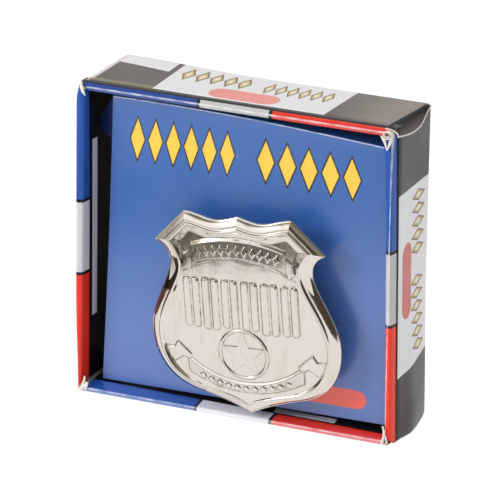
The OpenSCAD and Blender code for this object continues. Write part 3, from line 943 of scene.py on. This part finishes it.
def box_dist(u, v, x0, x1, y0, y1, r):
    qx = np.abs(u - (x0 + x1) / 2) - (x1 - x0) / 2 + r
    qy = np.abs(v - (y0 + y1) / 2) - (y1 - y0) / 2 + r
    return -(np.hypot(np.maximum(qx, 0), np.maximum(qy, 0)) + np.minimum(np.maximum(qx, qy), 0) - r)


PALES = [(-19.4, -14.2, -7.2, 9.2), (-12.8, -7.4, -7.4, 9.5), (-6.0, -0.8, -6.4, 9.6),
         (0.8, 6.0, -6.4, 9.6), (7.4, 12.8, -7.4, 9.5), (14.2, 19.4, -7.2, 9.2)]
TAIL_TOP = [(15.2, 18.6), (16.2, 18.4), (19.0, 16.6), (19.2, 13.4), (16.9, 11.6), (16.1, 14.8), (14.6, 15.2)]
TAIL_LOW = [(18.6, -17.2), (23.2, -13.2), (24.6, -15.6), (27.4, -15.4), (26.4, -18.4), (25.0, -20.4), (21.4, -18.0), (19.0, -19.6)]
LENS = [(-19.5, 11.0), (-14.0, 13.8), (-8.0, 16.0), (0.0, 17.0), (8.0, 16.0), (14.0, 13.8), (19.5, 11.0), (19.5, 10.0), (-19.5, 10.0)]


RIM_GRID = None


def rim_fillet(u, v):
    """Lift of the field along the bead, read from a grid of distances."""
    global RIM_GRID
    if RIM_GRID is None:
        gx, gy = np.meshgrid(np.arange(-34, 34.01, 0.25), np.arange(-37, 32.01, 0.25))
        loop = moved(bead_line, 1.05)
        RIM_GRID = poly_dist(gx.ravel(), gy.ravel(), loop).reshape(gx.shape)
    x = np.clip((u + 34) / 0.25, 0, RIM_GRID.shape[1] - 1.001)
    y = np.clip((v + 37) / 0.25, 0, RIM_GRID.shape[0] - 1.001)
    i, j = x.astype(int), y.astype(int)
    fx, fy = x - i, y - j
    d = (RIM_GRID[j, i] * (1 - fx) * (1 - fy) + RIM_GRID[j, i + 1] * fx * (1 - fy)
         + RIM_GRID[j + 1, i] * (1 - fx) * fy + RIM_GRID[j + 1, i + 1] * fx * fy)
    return 0.30 * (1 - np.clip(d / 1.9, 0, 1)) ** 2


def height(u, v):
    """Height of the field and its relief above the badge's back, in mm."""
    u, v = np.asarray(u, float), np.asarray(v, float)
    h = dome(u, v) + rim_fillet(u, v)
    au = np.abs(u)
    # upper ribbon: a sloped wall along its upper edge, a crisp lower edge
    foot = 46.0 - np.hypot(u, v + 22.0)
    low = np.hypot(u, v + 24.0) - 41.0
    side = 16.2 - au
    up = smoothstep(0.0, 1.45, foot) * smoothstep(-0.3, 0.35, np.minimum(low, side))
    ribbon = 0.62 * up
    tail = 0.44 * smoothstep(-0.3, 0.3, poly_dist(au, v, TAIL_TOP))
    # lower ribbon
    foot2 = np.hypot(u, v - 6.2) - 30.5
    low2 = 41.6 - np.hypot(u, v - 13.5)
    side2 = 19.8 - au
    up2 = smoothstep(0.0, 1.3, foot2) * smoothstep(-0.3, 0.4, low2) * smoothstep(-0.3, 0.3, side2)
    ribbon2 = 0.60 * up2
    tail2 = 0.44 * smoothstep(-0.3, 0.3, poly_dist(au, v, TAIL_LOW))
    top = np.maximum.reduce([ribbon, tail, ribbon2, tail2])
    # the low lens between the upper ribbon and the bars
    lens = 0.14 * smoothstep(-0.25, 0.3, poly_dist(u, v, LENS))
    top = np.maximum(top, lens)
    # upright bars, each with a groove along its middle
    for x0, x1, y0, y1 in PALES:
        d = box_dist(u, v, x0, x1, y0, y1, 1.1)
        bar = 0.62 * smoothstep(-0.30, 0.42, d)
        groove = 0.52 * smoothstep(0.95, 0.25, np.abs(u - (x0 + x1) / 2))
        top = np.maximum(top, bar - groove)
    # lozenges along both ribbons
    for cv, r, count, step, sgn, hu, hv in ((-29.0, 48.7, 11, 3.15, 1, 1.2, 1.85), (13.5, 40.1, 11, 4.3, -1, 1.3, 1.25)):
        ang = np.degrees(np.arctan2(u, sgn * (v - cv)))
        rad = np.hypot(u, v - cv)
        k = np.clip(np.round(ang / step), -(count // 2), count // 2)
        du = np.radians(ang - k * step) * r
        dv = rad - r
        d = 1 - (np.abs(du) / hu + np.abs(dv) / hv)
        top = top + 0.28 * smoothstep(-0.10, 0.34, d)
    # ring and star
    rr = np.hypot(u, v + 15.0)
    ring = 0.36 * smoothstep(0.66, 0.06, np.abs(rr - 8.1))
    a = np.degrees(np.arctan2(u, v + 15.0)) % 72.0
    a = np.radians(np.minimum(a, 72.0 - a))
    # distance inside a five-pointed star
    p0 = np.array([7.1, 0.0])
    p1 = 3.0 * np.array([math.cos(math.radians(36)), math.sin(math.radians(36))])
    e = p1 - p0
    nrm = np.array([e[1], -e[0]]) / np.linalg.norm(e)
    x, y = rr * np.cos(a), rr * np.sin(a)
    d = -((x - p0[0]) * nrm[0] + (y - p0[1]) * nrm[1])
    d = np.where(((0 - p0[0]) * nrm[0] + (0 - p0[1]) * nrm[1]) > 0, -d, d)
    star = np.where(d > 0, 0.12 + 0.14 * d, 0.12 * smoothstep(-0.35, 0.0, d))
    top = np.maximum(top, np.maximum(ring, np.minimum(star, 0.9)))
    return h + top


def patina_and_painted_shade(u, v):
    """0 to 1: how dark the metal is: patina in creases and between figures, plus painted reflected shade towards the
    upper left.
    """
    e = 0.22
    c = height(u, v)
    around = height(u + e, v) + height(u - e, v) + height(u, v + e) + height(u, v - e)
    crease = smoothstep(0.25, 2.6, (around - 4 * c) / e ** 2)
    band = smoothstep(0.0, 0.6, np.minimum(46.0 - 1.45 - np.hypot(u, v + 22.0), np.minimum(np.hypot(u, v + 24.0) - 41.0, 16.2 - np.abs(u))))
    band2 = smoothstep(0.0, 0.5, np.minimum(np.hypot(u, v - 6.2) - 31.8, np.minimum(41.6 - np.hypot(u, v - 13.5), 19.8 - np.abs(u))))
    ground = smoothstep(0.75, 0.55, c - dome(u, v))
    wall = smoothstep(0.0, 0.4, 46.0 - np.hypot(u, v + 22.0)) * smoothstep(1.5, 1.1, 46.0 - np.hypot(u, v + 22.0)) * smoothstep(0.0, 0.4, 16.4 - np.abs(u))
    # painted reflected shade: a dark patch at the upper left, and the upper field darker towards the left
    left = np.exp(-((u + 19.0) / 5.5) ** 2 - ((v - 17.5) / 6.0) ** 2)
    upper = smoothstep(6.0, 20.0, v) * (0.05 + 0.09 * smoothstep(8.0, -12.0, u))
    # the upper ribbon's ground patina is made heavier on the left: painted shade as well
    return np.clip(0.70 * crease + 0.34 * band * ground * (1 - 0.6 * smoothstep(-4.0, 14.0, u)) + 0.20 * band2 * ground + 0.26 * wall + 0.95 * left + upper, 0, 1)


def fill(loop, gap, inset):
    """Fills a closed outline with a staggered grid of points and triangles."""
    lo, hi = loop.min(0), loop.max(0)
    ys = np.arange(lo[1], hi[1], gap * 0.866)
    pts = []
    for k, y in enumerate(ys):
        xs = np.arange(lo[0] + (gap / 2 if k % 2 else 0), hi[0], gap)
        pts.append(np.stack([xs, np.full(len(xs), y)], 1))
    pts = np.vstack(pts)
    d = poly_dist(pts[:, 0], pts[:, 1], loop[::1])
    pts = pts[d > inset]
    allp = np.vstack([loop, pts])
    n = len(loop)
    edges = [(i, (i + 1) % n) for i in range(n)]
    v, _, f, ov, _, _ = delaunay_2d_cdt([Vector(p) for p in allp], edges, [], 1, 1e-7, True)
    back = {}
    for i, o in enumerate(ov):
        for q in o:
            back[q] = i
    order = [back[i] for i in range(len(allp))]
    inv = {o: i for i, o in enumerate(order)}
    faces = [tuple(inv[i] for i in t) for t in f]
    return allp, faces


def badge_matrix():
    turn, lean, swing = math.radians(3.8), math.radians(2.2), math.radians(0.8)
    m = Matrix.Translation((4.6, FRONT_Y - 1.6, 39.2))
    m = m @ Matrix.Rotation(-turn, 4, "Y") @ Matrix.Rotation(math.radians(90), 4, "X")
    return m @ Matrix.Rotation(-swing, 4, "Y") @ Matrix.Rotation(lean, 4, "X") @ Matrix.Diagonal((1.009, 1.005, 1.0, 1.0))


BADGE_M = badge_matrix()


def badge():
    rings = []          # (plan, heights)

    def add(plan, w):
        rings.append((plan, np.full(len(plan), float(w)) if np.isscalar(w) else np.asarray(w, float)))

    bead_out = moved(bead_line, -0.85)
    for w in (0.0, 0.12):
        add(edge_line if w else moved(edge_line, 0.1), w)
    add(edge_line, EDGE_T - 0.42)
    for a in (30, 60, 90):
        r = math.radians(a)
        add(moved(edge_line, 0.32 * (1 - math.cos(r))), EDGE_T - 0.42 + 0.32 * math.sin(r))
    start = moved(edge_line, 0.32)
    w0, w1 = EDGE_T - 0.10, 2.28
    for k in range(1, 13):
        f = k / 12
        add(start + (bead_out - start) * f, w0 + (w1 - w0) * (f + 0.78 * f * (1 - f)))
    for off, w in ((-0.62, 2.36), (-0.46, 2.50), (-0.30, 2.65), (-0.12, 2.735), (0.06, 2.75), (0.24, 2.70), (0.40, 2.58), (0.54, 2.42)):
        add(moved(bead_line, off), w)
    inner = moved(bead_line, 1.05)
    hin = height(inner[:, 0], inner[:, 1])
    for f in (0.25, 0.6, 0.9):
        plan = moved(bead_line, 0.54 + 0.51 * f)
        add(plan, 2.42 + (hin - 2.42) * smoothstep(0, 1, f))
    n_front = len(rings)
    add(inner, hin)
    n = N_LOOP
    verts = [np.column_stack([p, w]) for p, w in rings]
    n_rim = len(rings)
    faces, rim_faces = [], 0
    for j in range(n_rim - 1):
        for i in range(n):
            k = (i + 1) % n
            faces.append((j * n + i, (j + 1) * n + i, (j + 1) * n + k, j * n + k))
    rim_faces = len(faces)
    # the field: its border is the last ring
    pts, tri = fill(inner, 0.225, 0.14)
    hz = height(pts[:, 0], pts[:, 1])
    base = (n_rim - 1) * n
    extra = np.column_stack([pts[n:], hz[n:]])
    off = n_rim * n
    ix = lambda q: base + q if q < n else off + q - n
    for t in tri:
        faces.append(tuple(ix(q) for q in t))
    field_faces = len(faces)
    verts.append(extra)
    total = off + len(extra)
    # the back: flat under the rim, dished under the field
    back_rings = [(moved(edge_line, 1.0), 0.0), (moved(bead_line, 0.9), 0.0)]
    b_in = moved(bead_line, 1.2)
    back_rings.append((b_in, np.maximum(dome(b_in[:, 0], b_in[:, 1]) - WALL, 0.05)))
    prev = 0            # first ring of the rim
    for plan, w in back_rings:
        verts.append(np.column_stack([plan, np.full(n, w) if np.isscalar(w) else w]))
        for i in range(n):
            k = (i + 1) % n
            faces.append((prev + i, prev + k, total + k, total + i))
        prev = total
        total += n
    pts2, tri2 = fill(b_in, 1.6, 0.5)
    verts.append(np.column_stack([pts2[n:], dome(pts2[n:, 0], pts2[n:, 1]) - WALL]))
    jx = lambda q: prev + q if q < n else total + q - n
    for t in tri2:
        faces.append(tuple(jx(q) for q in t[::-1]))
    v = np.vstack(verts)
    world = np.array([BADGE_M @ Vector(p) for p in v])
    ob = mesh("badge", world, faces, [METAL], smooth=True)
    me = ob.data
    fix_normals(ob)
    # sharp lines: the corners' mitres and both edges of the field
    flags = np.zeros(len(me.edges), bool)
    ev = np.empty(len(me.edges) * 2, dtype=np.int32)
    me.edges.foreach_get("vertices", ev)
    ev = ev.reshape(-1, 2)
    limit = n_rim * n
    both = (ev < limit).all(1)
    same = (ev[:, 0] % n) == (ev[:, 1] % n)
    for c in CORNERS:
        flags |= both & same & ((ev[:, 0] % n) == c)
    flags |= ((ev >= base) & (ev < base + n)).all(1)
    att = me.attributes.get("sharp_edge") or me.attributes.new("sharp_edge", "BOOLEAN", "EDGE")
    att.data.foreach_set("value", flags)
    # smooth normals of the field from its height, where the grid is coarser
    eps = 0.10
    rot = np.array(BADGE_M.to_3x3())
    pu, pv = v[:, 0], v[:, 1]
    gx = (height(pu + eps, pv) - height(pu - eps, pv)) / (2 * eps)
    gy = (height(pu, pv + eps) - height(pu, pv - eps)) / (2 * eps)
    nn = np.column_stack([-gx, -gy, np.ones(len(v))])
    nn /= np.linalg.norm(nn, axis=1)[:, None]
    nn = nn @ rot.T
    lv = np.empty(len(me.loops), dtype=np.int32)
    me.loops.foreach_get("vertex_index", lv)
    custom = np.zeros((len(me.loops), 3))
    starts = np.empty(len(me.polygons), dtype=np.int32)
    me.polygons.foreach_get("loop_start", starts)
    totals = np.empty(len(me.polygons), dtype=np.int32)
    me.polygons.foreach_get("loop_total", totals)
    a = starts[rim_faces]
    b = starts[field_faces - 1] + totals[field_faces - 1]
    custom[a:b] = nn[lv[a:b]]
    me.normals_split_custom_set(custom.tolist())
    # darkness of creases (patina) and painted reflected shade, kept with the mesh for the material
    dark = np.zeros(len(v), dtype=np.float32)
    front = np.zeros(len(v), bool)
    front[base:off + len(extra)] = True
    dark[front] = patina_and_painted_shade(v[front, 0], v[front, 1])
    # painted reflection: the left neck's bevel gets values past 1, which the material paints near black, for the dark
    # room it reflects
    rim = ~front & (v[:, 2] > 1.25) & (v[:, 2] < 2.5) & (v[:, 0] < 0)
    dark[rim] = (2.4 * smoothstep(3.2, 4.4, v[:, 1]) * smoothstep(15.4, 14.4, v[:, 1]))[rim]
    # painted reflection: brown towards the ends of the top scallops' outer bevels and on the left ear, for the dark
    # room they reflect
    rim = ~front & (v[:, 2] > 1.1) & (v[:, 2] < 2.45) & (v[:, 1] > 20.5) & (v[:, 0] < 18.0)
    au = np.abs(v[:, 0])
    ends = 0.75 * np.exp(-((au - 14.5) / 2.6) ** 2) + 0.6 * np.exp(-((au - 3.6) / 1.8) ** 2)
    ear = 0.55 * smoothstep(-18.4, -20.5, v[:, 0]) * smoothstep(2.4, 2.1, v[:, 2])
    outer = smoothstep(2.15, 1.5, v[:, 2])
    dark[rim] = (ends * outer * (v[:, 0] > -18.3) + ear)[rim]
    att = me.attributes.new("patina_and_painted_shade", "FLOAT", "POINT")
    att.data.foreach_set("value", dark)
    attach(ob, "root")
    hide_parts("badge_shield")
    return ob


badge_ob = badge()
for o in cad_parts.values():
    if o.name.startswith("pin_clasp"):
        o.data.materials.clear()
        o.data.materials.append(STEEL)


# ---------------------------------------------------------------- stage
def plain(name, colour, emit=0.0, rough=0.9):
    s = Shader(name)
    s.set(Base_Color=(*colour, 1.0), Roughness=rough, Specular_IOR_Level=0.0)
    if emit:
        s.set(Emission_Color=(1.0, 0.995, 0.985, 1.0), Emission_Strength=emit)
    return s.mat


floor = mesh("floor", [(-1600, -1600, 0), (1600, -1600, 0), (1600, 1600, 0), (-1600, 1600, 0)], [(0, 1, 2, 3)],
             [plain("floor_white", (0.16, 0.16, 0.16), emit=0.93)], smooth=False)
floor.location.z = -0.00002


def room_material():
    """The dim half of the room, with the soft light's white front in it."""
    s = Shader("room")
    x, y, z = s.object_xyz()
    az = s.math("MULTIPLY", s.math("ARCTAN2", x, s.math("MULTIPLY", s.math("SUBTRACT", y, FRONT_Y), -1.0)), 180.0 / math.pi)

    def zone(col, az0, az1, z0, z1, colour, soft=4.0, zsoft=8.0):
        m = s.math("MULTIPLY", s.step(az, az0, soft), s.math("SUBTRACT", 1.0, s.step(az, az1, soft)))
        m = s.math("MULTIPLY", m, s.math("MULTIPLY", s.step(z, z0, zsoft), s.math("SUBTRACT", 1.0, s.step(z, z1, zsoft))))
        return s.mix(m, col, colour)

    col = s.mix(0.0, ROOM_BASE, ROOM_BASE)
    for q in ROOM_ZONES:
        col = zone(col, *q)
    return s.set(Base_Color=(0.0, 0.0, 0.0, 1.0), Roughness=1.0, Specular_IOR_Level=0.0,
                 Emission_Color=col, Emission_Strength=1.0)


ROOM_BASE = (0.30, 0.28, 0.22)
# azimuth range (0 is straight in front, + to the right), height range, colour
ROOM_ZONES = [
    (-140.0, -60.0, -20.0, 44.0, (0.075, 0.062, 0.045), 4.0, 6.0),
    (-140.0, -60.0, 44.0, 110.0, (0.66, 0.64, 0.58), 4.0, 16.0),
    (-64.0, 4.0, 58.0, 175.0, (1.25, 1.26, 1.27), 5.0, 18.0),
    (-62.0, 4.0, 24.0, 58.0, (0.66, 0.64, 0.58), 5.0, 10.0),
    (-62.0, -30.0, -20.0, 38.0, (0.12, 0.11, 0.09), 5.0, 10.0),
    (-30.0, -8.0, -20.0, 24.0, (0.14, 0.13, 0.11), 5.0, 8.0),
    (4.0, 58.0, -20.0, 165.0, (0.07, 0.057, 0.043), 6.0, 20.0),
    (58.0, 90.0, -20.0, 300.0, (0.40, 0.38, 0.34), 6.0, 20.0),
    (-56.0, -42.0, 100.0, 138.0, (9.0, 9.1, 9.3), 2.0, 5.0),
]
verts, faces = [], []
for i in range(61):
    turn = -125 + 205 * i / 60
    a = math.radians(turn - 90)
    r_room = 160.0 + 80.0 * float(smoothstep(-12, 5, turn)) - 36.0 * float(smoothstep(-62, -80, turn))
    for zz in (0.3, 120.0, 300.0):
        verts.append((r_room * math.cos(a), FRONT_Y + r_room * math.sin(a), zz))
for i in range(60):
    for k in range(2):
        faces.append((i * 3 + k, i * 3 + k + 1, (i + 1) * 3 + k + 1, (i + 1) * 3 + k))
room = mesh("room", verts, faces, [room_material()], smooth=True)
room.visible_camera = False
room.visible_diffuse = False
room.visible_shadow = False
room.visible_transmission = False

world = bpy.data.worlds.new("studio")
scene.world = world
world.use_nodes = True
wt = world.node_tree
bg = wt.nodes["Background"]
path = wt.nodes.new("ShaderNodeLightPath")


def by_ray(flag, otherwise, value):
    n = wt.nodes.new("ShaderNodeMapRange")
    wt.links.new(path.outputs[flag], n.inputs[0])
    if isinstance(otherwise, bpy.types.NodeSocket):
        wt.links.new(otherwise, n.inputs[3])
    else:
        n.inputs[3].default_value = otherwise
    n.inputs[4].default_value = value
    return n.outputs[0]


bg.inputs[0].default_value = (1.0, 0.995, 0.99, 1)
# what polished faces see: an even grey low down, a dim ceiling high up
high = wt.nodes.new("ShaderNodeTexCoord")
sep = wt.nodes.new("ShaderNodeSeparateXYZ")
wt.links.new(high.outputs["Generated"], sep.inputs[0])
ceiling = wt.nodes.new("ShaderNodeMapRange")
ceiling.interpolation_type = "SMOOTHSTEP"
wt.links.new(sep.outputs[2], ceiling.inputs[0])
for k, val in ((1, 0.55), (2, 0.80), (3, 0.70), (4, 0.20)):
    ceiling.inputs[k].default_value = val
shiny = wt.nodes.new("ShaderNodeMix")
shiny.data_type = "FLOAT"
wt.links.new(path.outputs["Is Glossy Ray"], shiny.inputs[0])
wt.links.new(by_ray("Is Diffuse Ray", 1.0, 0.46), shiny.inputs[2])
wt.links.new(ceiling.outputs[0], shiny.inputs[3])
wt.links.new(shiny.outputs[0], bg.inputs[1])


def area(name, at, target, size, power, colour=(1, 1, 1), glossy=True):
    d = bpy.data.lights.new(name, "AREA")
    d.shape = "RECTANGLE"
    d.size, d.size_y = size
    d.energy = power
    d.color = colour
    o = bpy.data.objects.new(name, d)
    scene.collection.objects.link(o)
    o.location = Vector(at) * MM
    o.rotation_euler = (Vector(target) * MM - o.location).to_track_quat("-Z", "Y").to_euler()
    o.visible_glossy = glossy
    return o


area("key", (-620, -560, 420), (0, 0, 50), (0.36, 0.36), 5.0)
area("top", (60, -60, 900), (0, 0, 50), (0.7, 0.7), 3.0)
